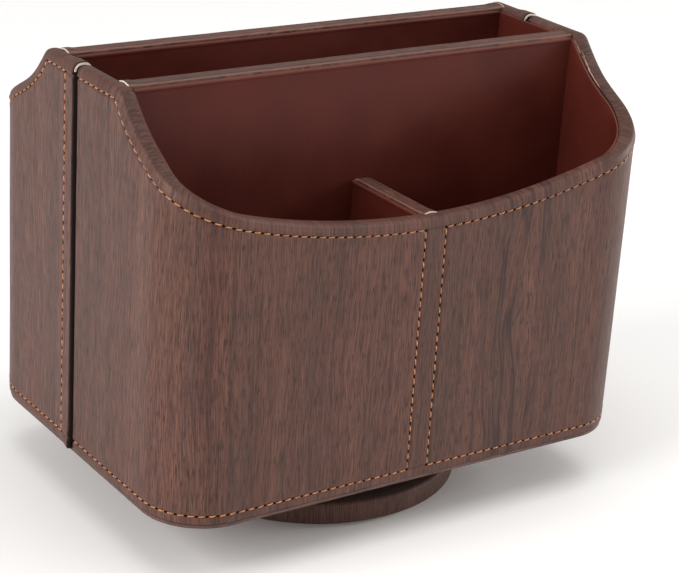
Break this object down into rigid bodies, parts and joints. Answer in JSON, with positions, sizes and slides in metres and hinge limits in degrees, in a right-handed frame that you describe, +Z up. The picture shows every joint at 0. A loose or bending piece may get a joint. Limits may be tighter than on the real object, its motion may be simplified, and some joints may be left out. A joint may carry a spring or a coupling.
{
  "type": "lazy susan organizer",
  "caption": "Open-topped rotating desk organizer: leatherette-wrapped caddy with high middle bay, low front and rear bays, turning on a round base.",
  "frame": {"origin": "centre of the base's underside, on the axis the caddy turns about", "axes": "+Z up, +X to the right along the long side, +Y to the back"},
  "size_m": [0.1854, 0.1346, 0.1549],
  "materials": {
    "woodgrain_leatherette": "satin",
    "burgundy_leatherette": "satin",
    "board": "matte",
    "bearing_metal": "satin",
    "steel": "polished",
    "nylon": "matte",
    "foot_foam": "matte"
  },
  "bodies": {
    "base": {"base_foot_pad": "foot_foam", "base_disc_board": "board", "base_disc_cover": "woodgrain_leatherette", "bearing_lower_ring": "bearing_metal", "lower_ring_screws": "steel"},
    "ball_ring": {"bearing_balls": "steel", "bearing_ball_cage": "nylon"},
    "caddy": {"bearing_upper_ring": "bearing_metal", "upper_ring_screws": "steel", "bottom_panel": "woodgrain_leatherette", "floor_board": "board", "front_wall_board": "board", "rear_wall_board": "board", "front_cover": "woodgrain_leatherette", "rear_cover": "woodgrain_leatherette", "front_wall_lining": "burgundy_leatherette", "rear_wall_lining": "burgundy_leatherette", "middle_floor_liner": "burgundy_leatherette", "front_divider_board": "board", "front_divider_outer_lining": "burgundy_leatherette", "front_divider_inner_lining": "burgundy_leatherette", "front_divider_trim": "woodgrain_leatherette", "front_partition_board": "board", "front_partition_left_lining": "burgundy_leatherette", "front_partition_right_lining": "burgundy_leatherette", "front_partition_trim": "woodgrain_leatherette", "front_left_floor_liner": "burgundy_leatherette", "front_right_floor_liner": "burgundy_leatherette", "rear_divider_board": "board", "rear_divider_outer_lining": "burgundy_leatherette", "rear_divider_inner_lining": "burgundy_leatherette", "rear_divider_trim": "woodgrain_leatherette", "rear_partition_board": "board", "rear_partition_left_lining": "burgundy_leatherette", "rear_partition_right_lining": "burgundy_leatherette", "rear_partition_trim": "woodgrain_leatherette", "rear_left_floor_liner": "burgundy_leatherette", "rear_right_floor_liner": "burgundy_leatherette"}
  },
  "joints": [
    {"name": "spin", "type": "hinge", "parent": "base", "child": "caddy", "pos_m": [0, 0, 0], "axis": [0, 0, 1], "continuous": true},
    {"name": "ball_orbit", "type": "hinge", "parent": "base", "child": "ball_ring", "pos_m": [0, 0, 0], "axis": [0, 0, 1], "continuous": true}
  ],
  "couplings": [
    {"joint": "ball_orbit", "follows": "spin", "ratio": 0.5}
  ]
}
